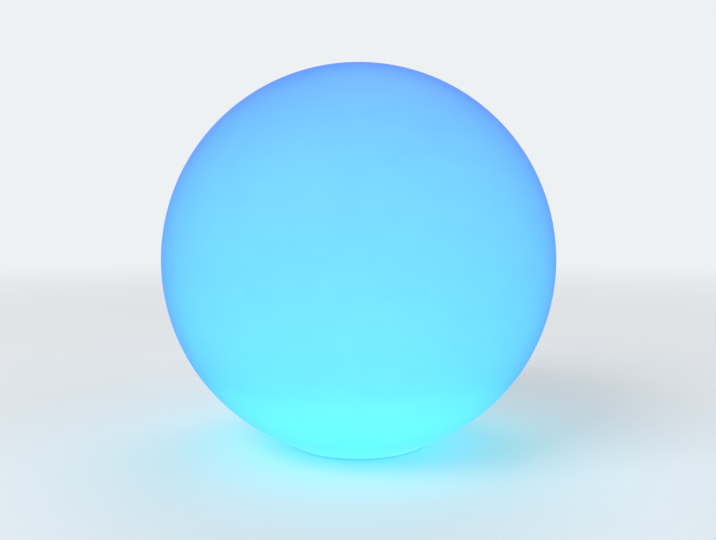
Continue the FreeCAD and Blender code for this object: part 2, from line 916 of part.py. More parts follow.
def make_port_cover():
    """A flap with a barrel round the pin and a thumb tab at its free end."""
    body = new_body("port_cover", S.port_x, hinge_y)
    half = S.cover_half_width - S.lug_thickness - S.lug_gap
    wide = S.cover_half_width
    clear = -S.knuckle_radius - S.lug_gap
    end = -S.cover_reach
    tab = S.cover_corner
    corners = [
        (-half, 0),
        (-half, clear),
        (-wide, clear),
        (-wide, end + S.cover_corner, S.cover_corner),
        (S.cover_corner - wide, end),
        (-tab, end),
        (-tab, end - tab / 2),
        (tab, end - tab / 2),
        (tab, end),
        (wide - S.cover_corner, end, S.cover_corner),
        (wide, end + S.cover_corner),
        (wide, clear),
        (half, clear),
        (half, 0),
    ]
    plate = draw(new_sketch(body, "XY_Plane", cover_bottom), corners)
    pad(body, plate, S.cover_thickness)
    round_rim(body, cover_bottom, S.cover_round)
    barrel = circle(new_sketch(body, "YZ_Plane"), 0, S.hinge_rise, S.knuckle_radius)
    pad(body, barrel, half * 2, both_ways=True)
    bore = circle(new_sketch(body, "YZ_Plane"), 0, S.hinge_rise, S.pin_radius + S.pin_play)
    extrude(body, "Pocket", bore, S.cover_half_width * 2, both_ways=True)


def make_port_plug():
    """The seal on the flap: a pad, and a short plug that reaches into the socket."""
    cover_top = cover_bottom + S.cover_thickness
    pad_top = S.dish_rise - S.plug_gap
    tip = S.dish_rise + S.plug_reach
    corners = [
        (0, cover_top),
        (S.plug_pad_radius, cover_top),
        (S.plug_pad_radius, pad_top),
        (S.plug_radius, pad_top),
        (S.plug_radius, tip - S.plug_gap),
        (S.plug_radius - S.plug_gap, tip),
        (0, tip),
    ]
    turned_piece("port_plug", corners, S.port_x, S.port_y)


def make_port_hinge_pin():
    body = new_body("port_hinge_pin", S.port_x, hinge_y)
    sketch = circle(new_sketch(body, "YZ_Plane"), 0, S.hinge_rise, S.pin_radius)
    pad(body, sketch, S.cover_half_width * 2, both_ways=True)


def make_indicator():
    """The charge light: a lamp under the board, and a light pipe down through the floor."""
    lamp_bottom = board_bottom - S.indicator_height
    lamp = block(
        "indicator_led", -S.indicator_length / 2, S.light_y - S.indicator_width / 2, lamp_bottom,
        S.indicator_length, S.indicator_width, S.indicator_height)
    sub_part(lamp, "indicator_led")
    pipe_top = lamp_bottom - S.plug_gap
    flange_top = floor_top + S.light_pipe_flange_height
    corners = [
        (0, S.dish_rise - S.light_pipe_proud),
        (S.light_pipe_radius, S.dish_rise - S.light_pipe_proud),
        (S.light_pipe_radius, floor_top),
        (S.light_pipe_flange, floor_top),
        (S.light_pipe_flange, flange_top),
        (S.light_pipe_radius, flange_top),
        (S.light_pipe_radius, pipe_top),
        (0, pipe_top),
    ]
    turned_piece("indicator_pipe", corners, 0, S.light_y)


# ------------------------------------------------------------------ hanging ring

def make_hang_ring():
    """A D-shaped loop of round wire. Its straight side turns in the bracket."""
    body = new_body("hang_ring", 0, S.ring_y, S.ring_rise)
    half = S.ring_half_width
    inner = half - S.ring_corner
    leg_end = S.ring_corner + S.ring_leg
    path = draw(new_sketch(body, "XY_Plane"), [
        (0, 0),
        (inner, 0, S.ring_corner),
        (half, S.ring_corner),
        (half, leg_end, half),
        (0, leg_end + half, half),
        (-half, leg_end),
        (-half, S.ring_corner, S.ring_corner),
        (-inner, 0),
    ])
    section = circle(new_sketch(body, "YZ_Plane"), 0, 0, S.ring_wire)
    pipe = body.newObject("PartDesign::AdditivePipe", "Wire")
    pipe.Profile = section
    pipe.Spine = path


def make_ring_bracket():
    """A strap over the ring's straight side, with a lip that stops the open ring."""
    body = new_body("ring_bracket", 0, S.ring_y)
    bore = S.ring_wire + S.ring_play
    outer = bore + S.strap_thickness
    ear = S.dish_rise - S.strap_thickness
    corners = [
        (-S.strap_ear, S.dish_rise),
        (-S.strap_ear, ear),
        (-outer, ear),
        (-outer, S.ring_rise, outer),
        (0, S.ring_rise - outer, outer),
        (outer, S.ring_rise),
        (outer, ear),
        (S.strap_ear, ear),
        (S.strap_ear, S.dish_rise),
        (bore, S.dish_rise),
        (bore, S.ring_rise, -bore),
        (0, S.ring_rise - bore, -bore),
        (-bore, S.ring_rise),
        (-bore, S.dish_rise),
    ]
    strap = draw(new_sketch(body, "YZ_Plane"), corners)
    pad(body, strap, S.strap_half_width * 2, both_ways=True)
    near = -S.ring_wire - S.stop_gap
    lip = new_sketch(body, "YZ_Plane")
    rectangle(lip, near - S.stop_thickness, near, S.stop_rise, S.dish_rise)
    pad(body, lip, S.stop_half_width * 2, both_ways=True)
    for side in (1, -1):
        hole(body, 0, side * S.strap_screw_offset, clear_hole("small"), ear, S.strap_thickness)


def make_bracket_screws():
    seat = S.dish_rise - S.strap_thickness
    spots = [(0, S.ring_y + side * S.strap_screw_offset) for side in (1, -1)]
    screw_set("bracket_screws", "small", spots, seat, 1, S.small_length)


# ------------------------------------------------------------------ control board

# where the two capacitors stand on the board
CAPACITOR_SPOTS = ((-7, -17), (9, 13))


def make_control_board():
    body = new_body("control_board")
    cylinder(body, 0, 0, board_radius, board_bottom, S.board_thickness)
    cut = hole(
        body, 0, -board_post_circle, clear_hole("small"), board_bottom, S.board_thickness)
    around(body, [cut], S.board_post_count)
    spots = [(0, -board_post_circle)]
    screw_set("board_screws", "small", spots, board_top, -1, S.small_length, S.board_post_count)


def rod(name, x, y, bottom, radius, height):
    """A plain upright cylinder."""
    item = doc.addObject("Part::Cylinder", name)
    for side, size in (("Radius", sized(radius)), ("Height", sized(height))):
        setattr(item, side, size.value)
        bind(item, side, size)
    place(item, x, y, bottom)
    return item


def square_part(label, x, y, width, height):
    """A square piece on the board, with its middle at x, y."""
    low_x = x - width / 2
    low_y = y - width / 2
    sub_part(block(label, low_x, low_y, board_top, width, width, height), label)


def make_board_parts():
    """The pieces soldered to the top of the board."""
    square_part("controller_chip", S.chip_x, S.chip_y, S.chip_width, S.chip_height)
    square_part(
        "board_inductor", S.inductor_x, S.inductor_y, S.inductor_width, S.inductor_height)
    group("driver_transistors", [
        block(
            "transistor", S.transistor_x, S.transistor_y + S.transistor_pitch * index, board_top,
            S.transistor_length, S.transistor_width, S.transistor_height)
        for index in range(3)
    ])
    group("board_capacitors", [
        rod("capacitor", x, y, board_top, S.capacitor_radius, S.capacitor_height)
        for x, y in CAPACITOR_SPOTS
    ])
    group("board_resistors", [
        block(
            "resistor", S.resistor_x + S.resistor_row * row,
            S.resistor_y + S.resistor_pitch * index, board_top,
            S.resistor_length, S.resistor_width, S.resistor_height)
        for row in range(2)
        for index in range(5)
    ])


def make_connector(name, side, mouth, y, half):
    """A header on the board, and the plug in its mouth. Side is 1 where that looks to +X."""
    wall = S.header_wall
    back = mouth - side * S.header_length

    def span(first, last):
        """Lowest x and length of the stretch between two places."""
        return (first, last - first) if side > 0 else (last, first - last)

    start, length = span(back, mouth)
    outer = block(name + "_shell", start, y - half, board_top, length, half * 2, S.header_height)
    start, length = span(back + side * wall, mouth)
    room = block(
        name + "_room", start, y - half + wall, board_top + wall, length,
        (half - wall) * 2, S.header_height - wall * 2)
    hollowed(name + "_header", outer, room)
    gap = wall + S.plug_clearance
    start, length = span(back + side * gap, mouth + side * S.plug_stub)
    plug = block(
        name + "_plug", start, y - half + gap, board_top + gap, length,
        (half - gap) * 2, S.header_height - gap * 2)
    sub_part(plug, name + "_plug")


def make_connectors():
    mouth = S.battery_header_x + S.header_length
    make_connector("battery", 1, mouth, sized(0), S.battery_header_half)
    mouth = -S.led_header_x - S.header_length
    make_connector("led", -1, mouth, harness_y, S.led_header_half)


# ------------------------------------------------------------------ battery

def make_battery_tray():
    """A plate on two posts with two cradles for the cell."""
    body = new_body("battery_tray")
    long_x = S.tray_half_length
    wide_y = clamp_ear + S.tray_edge
    arm_x = S.tray_arm_half_width
    arm_y = tub_inside - S.tray_arm_gap
    corners = [
        (-arm_x, -arm_y), (arm_x, -arm_y), (arm_x, -wide_y), (long_x, -wide_y),
        (long_x, wide_y), (arm_x, wide_y), (arm_x, arm_y), (-arm_x, arm_y),
        (-arm_x, wide_y), (-long_x, wide_y), (-long_x, -wide_y), (-arm_x, -wide_y),
    ]
    plate = draw(new_sketch(body, "XY_Plane", tray_bottom), corners)
    pad(body, plate, S.tray_thickness)
    for side in (1, -1):
        level = side * S.cradle_offset - S.cradle_thickness / 2
        rib = draw(new_sketch(body, "YZ_Plane", level), [
            (-cradle_half_width, tray_bottom),
            (cradle_half_width, tray_bottom),
            (cradle_half_width, cell_height),
            (cradle_radius, cell_height, -cradle_radius),
            (0, cell_height - cradle_radius, -cradle_radius),
            (-cradle_radius, cell_height),
            (-cradle_half_width, cell_height),
        ])
        pad(body, rib, S.cradle_thickness)
    boss = cylinder(
        body, 0, clamp_screw_offset, S.post_radius, tray_bottom - S.clamp_boss_drop,
        S.clamp_boss_drop + S.tray_thickness / 2)
    top = new_sketch(body, "XY_Plane", tray_top)
    bore = circle(top, 0, clamp_screw_offset, pilot("small"))
    seat = pocket_down(body, bore, S.tray_thickness + S.clamp_boss_drop)
    around(body, [boss, seat], sized(2))
    arm_hole = hole(
        body, 0, tray_post_circle, clear_hole("small"), tray_bottom, S.tray_thickness)
    around(body, [arm_hole], sized(2))
    spots = [(0, tray_post_circle)]
    screw_set("tray_screws", "small", spots, tray_top, -1, S.tray_screw_length, sized(2))


def make_battery_cell():
    """A round lithium cell that lies along X, with its raised pole at +X."""
    body = new_body("battery_cell", 0, 0, cell_height)
    shoulder = cell_end - S.cell_cap_height
    corners = [
        (-cell_end, 0),
        (cell_end, 0),
        (cell_end, S.cell_cap_radius),
        (shoulder, S.cell_cap_radius),
        (shoulder, S.cell_radius),
        (-cell_end, S.cell_radius),
    ]
    revolve(body, draw(new_sketch(body, "XZ_Plane"), corners), "H_Axis")


def make_cell_tabs():
    """Welded strips on the cell's two ends."""
    half = S.tab_width / 2
    low = cell_height - S.tab_height / 2
    strips = [
        block("tab", start, -half, low, S.tab_thickness, S.tab_width, S.tab_height)
        for start in (cell_end, -tab_outside)
    ]
    group("cell_tabs", strips)


def make_battery_clamp():
    """A strap over the middle of the cell."""
    body = new_body("battery_clamp")
    ear_top = tray_top + S.clamp_thickness
    corners = [
        (-clamp_ear, tray_top),
        (-cradle_radius, tray_top),
        (-cradle_radius, cell_height, -cradle_radius),
        (0, cell_height + cradle_radius, -cradle_radius),
        (cradle_radius, cell_height),
        (cradle_radius, tray_top),
        (clamp_ear, tray_top),
        (clamp_ear, ear_top),
        (clamp_radius, ear_top),
        (clamp_radius, cell_height, clamp_radius),
        (0, cell_height + clamp_radius, clamp_radius),
        (-clamp_radius, cell_height),
        (-clamp_radius, ear_top),
        (-clamp_ear, ear_top),
    ]
    strap = draw(new_sketch(body, "YZ_Plane"), corners)
    pad(body, strap, S.clamp_half_width * 2, both_ways=True)
    cut = hole(
        body, 0, clamp_screw_offset, clear_hole("small"), tray_top, S.clamp_thickness)
    around(body, [cut], sized(2))
    spots = [(0, clamp_screw_offset)]
    screw_set("clamp_screws", "small", spots, ear_top, -1, S.small_length, sized(2))


# ------------------------------------------------------------------ wires

def wire_path(points):
    """Straight runs through the points, joined by arcs that touch them."""
    edges = []
    start = points[0]
    for before, corner, after in zip(points, points[1:], points[2:]):
        towards = (before - corner).normalize()
        onwards = (after - corner).normalize()
        half_turn = (math.pi - towards.getAngle(onwards)) / 2
        run = min((before - corner).Length, (after - corner).Length)
        setback = run * 0.45
        radius = setback / math.tan(half_turn)
        first = corner + towards * setback
        last = corner + onwards * setback
        inward = (towards + onwards).normalize()
        middle = corner + inward * (radius / math.cos(half_turn) - radius)
        edges.append(Part.LineSegment(start, first).toShape())
        edges.append(Part.Arc(first, middle, last).toShape())
        print("wire bend radius %.2f" % radius)
        start = last
    edges.append(Part.LineSegment(start, points[-1]).toShape())
    return Part.Wire(edges)


def tube(points, radius):
    """A round wire along the path, with its volume compared with section times length."""
    path = wire_path(points)
    direction = points[1] - points[0]
    ring = Part.Wire(Part.Circle(points[0], direction, radius).toShape())
    solid = path.makePipeShell([ring], True, False)
    expected = math.pi * radius ** 2 * path.Length
    print("wire volume %.2f, section times length %.2f" % (solid.Volume, expected))
    return solid


def corner_points(rows):
    """Points from rows of three sizes each."""
    return [V(*[sized(size).value for size in row]) for row in rows]


def shaped(label, shape):
    """A sub-part whose shape is set as it is."""
    feature = doc.addObject("Part::Feature", label)
    feature.Shape = shape
    feature.Placement = FreeCAD.Placement()
    return sub_part(feature, label)


def make_battery_leads():
    """Two leads from the cell's tabs to the plug on the board."""
    exit_x = S.battery_header_x + S.header_length + S.plug_stub
    wall_x = tab_outside + S.lead_gap + S.lead_radius
    out_x = wall_x - S.lead_turn_room
    cell_low = cell_height - S.cell_radius
    cell_high = cell_height + S.cell_radius
    positive = corner_points([
        (exit_x, S.lead_offset, header_middle),
        (out_x, S.lead_offset, header_middle),
        (wall_x, 0.6, cell_low + 2.2),
        (wall_x, 0.4, cell_height - 1),
    ])
    shaped("battery_lead_positive", tube(positive, S.lead_radius.value))
    outer = clamp_radius + S.lead_radius
    negative = corner_points([
        (exit_x, -S.lead_offset, header_middle),
        (out_x, -1.4, header_middle),
        (wall_x, -3, cell_low + 1.2),
        (wall_x, 2.7 - S.cell_radius, cell_height + 2),
        (wall_x - 3.2, -outer, cell_high - 2.7),
        (1.4 - wall_x, -outer, cell_high - 2.5),
        (-wall_x, 1.7 - S.cell_radius, cell_high - 1.2),
        (-wall_x, -0.8, cell_height - 2),
    ])
    shaped("battery_lead_negative", tube(negative, S.lead_radius.value))


def make_led_harness():
    """Four wires side by side, from the board up through the lid to the lamp board."""
    exit_x = -(S.led_header_x + S.header_length + S.plug_stub)
    socket_x = led_socket_low_x()
    lamp_z = led_board_top + S.led_socket_height / 2
    wires = []
    for index in range(4):
        y = harness_y + (index - 1.5) * S.harness_pitch
        points = corner_points([
            (exit_x, y, header_middle),
            (-wire_hole_x, y, header_middle),
            (-wire_hole_x, y, lamp_z),
            (socket_x, y, lamp_z),
        ])
        wires.append(tube(points, S.harness_radius.value))
    shaped("led_harness", Part.Compound(wires))


# ------------------------------------------------------------------ lid and lamp

def led_socket_low_x():
    """Face of the lamp board's socket that the wires enter."""
    return S.led_socket_gap - wire_hole_x


def lid_holes(body, bottom, thickness):
    """The holes for the lid's screws in one plate."""
    x = lid_screw_offset
    cut = hole(body, x, x, clear_hole("large"), bottom, thickness)
    around(body, [cut], S.lid_screw_count)


def make_heat_spreader():
    body = new_body("heat_spreader")
    cylinder(body, 0, 0, tub_radius - S.lid_edge, tub_top, S.spreader_thickness)
    hole(body, -wire_hole_x, harness_y, S.wire_hole_radius, tub_top, S.spreader_thickness)
    bore = hole(body, 0, S.led_board_screw, pilot("small"), tub_top, S.spreader_thickness)
    around(body, [bore], sized(2))
    lid_holes(body, tub_top, S.spreader_thickness)


def make_led_board():
    body = new_body("led_board")
    cylinder(body, 0, 0, dome_inside - S.led_board_gap, lid_top, S.led_board_thickness)
    bore = hole(
        body, 0, S.led_board_screw, clear_hole("small"), lid_top, S.led_board_thickness)
    around(body, [bore], sized(2))
    spots = [(0, S.led_board_screw)]
    length = S.led_board_thickness + S.spreader_thickness - S.pilot_gap
    screw_set("led_board_screws", "small", spots, led_board_top, -1, length, sized(2))


def make_lamps():
    """Square lamps in a ring, each with a clear window in its top."""
    body = new_body("led_packages")
    half = S.led_width / 2
    low = S.led_circle - half
    base = rectangle(new_sketch(body, "XY_Plane", led_board_top), low, low + S.led_width, -half,
                     half)
    solid = pad(body, base, S.led_height)
    window_bottom = led_board_top + S.led_height - S.led_window_depth
    room = hole(
        body, S.led_circle, 0, S.led_window_radius + S.light_pipe_fit, window_bottom,
        S.led_window_depth)
    around(body, [solid, room], S.led_count)
    windows = new_body("led_windows")
    disc = cylinder(
        windows, S.led_circle, 0, S.led_window_radius, window_bottom, S.led_window_depth)
    around(windows, [disc], S.led_count)


def make_led_socket():
    low_x = led_socket_low_x()
    half = S.led_socket_half
    socket = block(
        "led_socket", low_x, harness_y - half, led_board_top, S.led_socket_length, half * 2,
        S.led_socket_height)
    sub_part(socket, "led_socket")


def make_diffuser_dome():
    flange_top = lid_top + S.dome_flange
    spring = lid_top + S.dome_straight
    inside = dome_inside
    top = spring + S.dome_rise
    inner_rise = S.dome_rise - S.dome_wall
    outer_bend = (square(dome_radius) + square(S.dome_rise)) / (2 * S.dome_rise)
    inner_bend = (square(inside) + square(inner_rise)) / (2 * inner_rise)
    corners = [
        (inside, lid_top),
        (tub_radius - S.lid_edge, lid_top),
        (tub_radius - S.lid_edge, flange_top),
        (dome_radius, flange_top),
        (dome_radius, spring, outer_bend),
        (0, top),
        (0, top - S.dome_wall, -inner_bend),
        (inside, spring),
    ]
    body = turned_piece("diffuser_dome", corners)
    lid_holes(body, lid_top, S.dome_flange)
    length = S.dome_flange + S.spreader_thickness + S.large_length - S.screw_tip_gap
    corner = lid_screw_offset
    screw_set(
        "lid_screws", "large", [(corner, corner)], flange_top, -1, length, S.lid_screw_count)


# ------------------------------------------------------------------ all pieces

def make_all():
    make_globe_shell()
    make_neck_inserts()
    make_neck_gasket()
    make_base_housing()
    make_base_screws()
    make_button_cap()
    make_button_clip()
    make_button_seal()
    make_switch()
    make_charge_socket()
    make_socket_pin()
    make_port_cover()
    make_port_plug()
    make_port_hinge_pin()
    make_indicator()
    make_hang_ring()
    make_ring_bracket()
    make_bracket_screws()
    make_control_board()
    make_board_parts()
    make_connectors()
    make_battery_tray()
    make_battery_cell()
    make_cell_tabs()
    make_battery_clamp()
    make_battery_leads()
    make_led_harness()
    make_heat_spreader()
    make_led_board()
    make_lamps()
    make_led_socket()
    make_diffuser_dome()


def check_all():
    """Stop if anything failed, or if a pocket took nothing away."""
    for item in doc.Objects:
        if "Invalid" in item.State or "Error" in item.State:
            raise RuntimeError("%s (%s) failed: %s" % (item.Name, item.Label, item.State))
        if item.isDerivedFrom("PartDesign::Pocket"):
            before = item.BaseFeature.Shape.Volume
            if item.Shape.Volume > before - 1e-6:
                raise RuntimeError("%s cuts nothing" % item.Name)
    for item in made:
        if item.Shape.isNull() or not item.Shape.isValid():
            raise RuntimeError("%s has no valid shape" % item.Label)


def write_all():
    os.makedirs("parts", exist_ok=True)
    for item in made:
        item.Shape.exportStep("parts/%s.step" % item.Label)
        solids = len(item.Shape.Solids)
        print("%-24s %2d solids %12.2f mm3" % (item.Label, solids, item.Shape.Volume))


make_all()
doc.recompute()
check_all()
write_all()
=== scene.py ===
import json
import math

import bmesh
import bpy
from mathutils import Matrix, Vector


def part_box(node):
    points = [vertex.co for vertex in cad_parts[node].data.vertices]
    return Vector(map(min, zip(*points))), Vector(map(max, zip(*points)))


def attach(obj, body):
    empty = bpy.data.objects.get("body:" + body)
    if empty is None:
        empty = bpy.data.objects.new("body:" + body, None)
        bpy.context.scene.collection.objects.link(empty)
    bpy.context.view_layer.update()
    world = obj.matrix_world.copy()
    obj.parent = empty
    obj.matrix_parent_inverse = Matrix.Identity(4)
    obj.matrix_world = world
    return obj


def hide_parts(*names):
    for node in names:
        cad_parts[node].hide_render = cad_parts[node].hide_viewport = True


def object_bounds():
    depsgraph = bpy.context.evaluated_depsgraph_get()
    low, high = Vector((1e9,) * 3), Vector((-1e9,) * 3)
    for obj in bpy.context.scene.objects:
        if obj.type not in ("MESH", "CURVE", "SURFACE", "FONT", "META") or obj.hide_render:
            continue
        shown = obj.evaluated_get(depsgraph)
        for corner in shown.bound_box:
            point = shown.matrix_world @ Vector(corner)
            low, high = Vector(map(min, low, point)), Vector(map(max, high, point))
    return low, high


# A garden globe light that is switched on: a satin translucent ball that glows sky blue at
# the top and cyan at the foot, with its white core, button, cover and ring underneath.
# Lengths are metres, +Z up, and the globe stands on z = 0.

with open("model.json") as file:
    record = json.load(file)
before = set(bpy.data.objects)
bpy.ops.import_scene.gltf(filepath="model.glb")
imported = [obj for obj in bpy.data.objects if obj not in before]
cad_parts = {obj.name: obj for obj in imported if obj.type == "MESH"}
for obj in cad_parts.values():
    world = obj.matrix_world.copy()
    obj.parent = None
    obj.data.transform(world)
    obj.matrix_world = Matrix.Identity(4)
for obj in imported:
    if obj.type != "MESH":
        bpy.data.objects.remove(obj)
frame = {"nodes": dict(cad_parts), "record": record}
cad_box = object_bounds()

MM = 0.001

# ------------------------------------------------------------------ sizes

# globe, its foot and the recess in it: the ball's middle lies its radius below its top
GLOBE_LOW, GLOBE_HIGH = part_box("globe_shell")
GLOBE_RADIUS = min(-GLOBE_LOW.x, -GLOBE_LOW.y, GLOBE_HIGH.x, GLOBE_HIGH.y)
GLOBE_WALL = 3.0 * MM
CENTRE_HEIGHT = GLOBE_HIGH.z - GLOBE_HIGH.x
FOOT_RADIUS = 54.0 * MM
FOOT_WIDTH = 7.0 * MM
FOOT_EDGE_WIDTH = 2.6 * MM
FOOT_EDGE_HEIGHT = 0.75 * MM
FLARE_WIDTH = 10.0 * MM
FLARE_BEND = 95.0 * MM
FOOT_FLOOR = 4.5 * MM
COLLAR_WALL = 3.5 * MM

# the land in the recess, and the bosses and screw seats on it
LAND_WIDTH = 8.5 * MM
LAND_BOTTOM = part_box("neck_gasket")[1].z
LAND_THICKNESS = 5.0 * MM
BASE_SCREWS = 6
BOSS_RADIUS = 4.0 * MM
BOSS_HEIGHT = 6.0 * MM
SEAT_RADIUS = 2.25 * MM
SEAT_GAP = 0.05 * MM

# the on-off sign on the button, and the button's dished face that carries it: the bar points
# along +Y, and the ring is open MARK_OPENING degrees to either side of it
MARK_WIDTH = 0.6 * MM
MARK_RADIUS = 2.3 * MM
MARK_OPENING = 38.0
MARK_PROUD = 0.12 * MM
BAR_START = 0.7 * MM
BAR_END = 3.1 * MM
BUTTON_HOLLOW = 0.35 * MM
BUTTON_FACE = 5.8 * MM

# steps of the round shapes
AROUND = 192
OUTSIDE_STEPS = 110
INSIDE_STEPS = 60
FOOT_STEPS = 8
PEG_SIDES = 48
MARK_STEPS = 40
BAR_STEPS = 4
END_STEPS = 6

# an edge over this many degrees is crisp, points of a cut this near each other are joined,
# and a point this near the axis lies on it
CRISP_ANGLE = 30.0
CUT_SLACK = 0.005 * MM
ON_AXIS = 0.0001 * MM

# ------------------------------------------------------------------ colours


def linear(value):
    """One channel of a display colour, 0 to 255, as linear light by the sRGB curve."""
    share = value / 255
    if share <= 0.04045:
        return share / 12.92
    return ((share + 0.055) / 1.055) ** 2.4


def display(red, green, blue):
    """A display colour as linear RGBA."""
    return (linear(red), linear(green), linear(blue), 1.0)


BACKDROP = display(238, 241, 243)
FLOOR = display(228, 231, 234)
WHITE = display(255, 255, 255)
STEEL_DARK = display(192, 194, 197)
STEEL_LIGHT = display(212, 213, 215)

# ------------------------------------------------------------------ nodes


class Nodes:
    """The node tree of a material or world, empty at first."""

    def __init__(self, owner):
        owner.use_nodes = True
        self.tree = owner.node_tree
        self.tree.nodes.clear()

    def add(self, kind, **settings):
        """A new node, with these settings."""
        node = self.tree.nodes.new(kind)
        for key, value in settings.items():
            setattr(node, key, value)
        return node

    def feed(self, node, key, value):
        """Give an input a number, a colour or another node's output."""
        if isinstance(value, bpy.types.NodeSocket):
            self.tree.links.new(value, node.inputs[key])
        else:
            node.inputs[key].default_value = value

    def math(self, operation, first, second=0.0):
        """One number made from two."""
        node = self.add("ShaderNodeMath", operation=operation)
        self.feed(node, 0, first)
        self.feed(node, 1, second)
        return node.outputs[0]

    def span(self, value, low, high, start, end, **settings):
        """Value taken from low..high to start..end, and held past either end."""
        node = self.add("ShaderNodeMapRange", **settings)
        self.feed(node, "Value", value)
        for key, number in zip(("From Min", "From Max", "To Min", "To Max"), (low, high, start, end)):
            self.feed(node, key, number)
        return node.outputs[0]

    def plain(self, kind, colour, strength=None):
        """A shader of one colour."""
        node = self.add(kind)
        self.feed(node, "Color", colour)
        if strength is not None:
            self.feed(node, "Strength", strength)
        return node.outputs[0]

    def mixed(self, share, first, second):
        """A shader between two."""
        node = self.add("ShaderNodeMixShader")
        for key, value in enumerate((share, first, second)):
            self.feed(node, key, value)
        return node.outputs[0]


class Finish(Nodes):
    """A procedural material: one Principled shader, and the nodes that feed it."""

    # what most of a soft noise lies between, and the rays that look for corners and edges
    NOISE_LOW = 0.3
    NOISE_HIGH = 0.7
    EDGE_RAYS = 6

    # the sockets of a mix node that hold colours
    MIX_FIRST = 6
    MIX_SECOND = 7
    MIX_RESULT = 2

    def __init__(self, name, **inputs):
        self.material = bpy.data.materials.new(name)
        super().__init__(self.material)
        self.shader = self.add("ShaderNodeBsdfPrincipled")
        for key, value in inputs.items():
            socket = key.replace("_", " ").title().replace("Ior", "IOR")
            self.shader.inputs[socket].default_value = value
        self.feed(self.add("ShaderNodeOutputMaterial"), "Surface", self.shader.outputs[0])
        self.place = self.add("ShaderNodeTexCoord").outputs["Object"]

    def to(self, key, value):
        """Feed one input of the shader."""
        self.feed(self.shader, key, value)

    def stretched(self, stretch):
        """Object coordinates, scaled along each axis."""
        node = self.add("ShaderNodeMapping")
        self.feed(node, "Vector", self.place)
        self.feed(node, "Scale", stretch)
        return node.outputs[0]

    def noise(self, scale, detail=2.0, stretch=None):
        """Soft noise, 0 to 1, with scale bumps to the metre."""
        node = self.add("ShaderNodeTexNoise")
        self.feed(node, "Vector", self.stretched(stretch) if stretch else self.place)
        self.feed(node, "Scale", scale)
        self.feed(node, "Detail", detail)
        return node.outputs["Fac"]

    def spread(self, noise, start=0.0, end=1.0):
        """A soft noise taken to start..end."""
        return self.span(noise, self.NOISE_LOW, self.NOISE_HIGH, start, end)

    def waves(self, scale, **settings):
        """Even waves through the piece, 0 to 1."""
        node = self.add("ShaderNodeTexWave", **settings)
        self.feed(node, "Vector", self.place)
        self.feed(node, "Scale", scale)
        return node.outputs["Fac"]

    def blend(self, share, first, second):
        """A colour between two."""
        node = self.add("ShaderNodeMix", data_type="RGBA")
        self.feed(node, "Factor", share)
        self.feed(node, self.MIX_FIRST, first)
        self.feed(node, self.MIX_SECOND, second)
        return node.outputs[self.MIX_RESULT]

    def scaled(self, colour, factor):
        """A colour made brighter or darker."""
        node = self.add("ShaderNodeVectorMath", operation="SCALE")
        self.feed(node, 0, colour)
        self.feed(node, "Scale", factor)
        return node.outputs[0]

    def axis(self, name, vector=None):
        """One coordinate of a vector, or else of the place on the piece."""
        node = self.add("ShaderNodeSeparateXYZ")
        self.feed(node, 0, self.place if vector is None else vector)
        return node.outputs[name]

    def corners(self, reach):
        """0 deep in a corner, 1 in the open."""
        node = self.add("ShaderNodeAmbientOcclusion", samples=self.EDGE_RAYS)
        self.feed(node, "Distance", reach)
        return node.outputs["AO"]

    def relief(self, height, depth, strength=1.0, edge=0.0):
        """Bump from a height, on edges that are rounded by edge."""
        node = self.add("ShaderNodeBump")
        self.feed(node, "Strength", strength)
        self.feed(node, "Distance", depth)
        self.feed(node, "Height", height)
        if edge:
            bevel = self.add("ShaderNodeBevel", samples=self.EDGE_RAYS)
            self.feed(bevel, "Radius", edge)
            self.feed(node, "Normal", bevel.outputs[0])
        self.to("Normal", node.outputs[0])


# ------------------------------------------------------------------ glowing shell

# the light that leaves the shell, by share of the globe's height from the foot up; the dimmer first stop is
# painted shade, a dark line along the foot's edge where it meets the floor
GLOW_STRENGTH = 1.5
GLOW = (
    # painted shade: the glow is dimmer at the foot's very edge, for the dark contact line at the floor
    (0.000, (0.060, 0.42, 0.56)),
    (0.003, (0.085, 0.74, 0.80)),
    (0.060, (0.085, 0.74, 0.78)),
    (0.130, (0.115, 0.79, 0.70)),
    (0.190, (0.125, 0.74, 0.64)),
    (0.260, (0.135, 0.63, 0.59)),
    (0.480, (0.145, 0.52, 0.56)),
    (0.720, (0.152, 0.44, 0.55)),
    (0.900, (0.152, 0.36, 0.54)),
    (1.000, (0.110, 0.32, 0.54)),
)
# its strength at the left and right side, and how much the wall's thickness changes it
GLOW_LEFT = 1.02
GLOW_RIGHT = 0.975
GLOW_CHANGE = 0.015

# the coat's tint, its weight at the foot, and the share of the height from which it is full
COAT_TINT = (0.82, 0.83, 1.0, 1.0)
COAT_AT_FOOT = 0.40
COAT_FULL_FROM = 0.22

# the foot's scuffs: the share of light that they take, and the heights between which they fade
SCUFF_SHARE = 0.2
SCUFF_LOW = 0.2 * MM
SCUFF_HIGH = 0.7 * MM


def glow_ramp(finish, height):
    """The colour of the glow at a share of the globe's height."""
    ramp = finish.add("ShaderNodeValToRGB")
    finish.feed(ramp, "Fac", height)
    stops = ramp.color_ramp.elements
    stops[0].position = GLOW[0][0]
    stops[1].position = GLOW[-1][0]
    for share, _ in GLOW[1:-1]:
        stops.new(share)
    for stop, (_, colour) in zip(stops, GLOW):
        stop.color = (*colour, 1.0)
    ramp.color_ramp.interpolation = "LINEAR"
    return ramp.outputs[0]


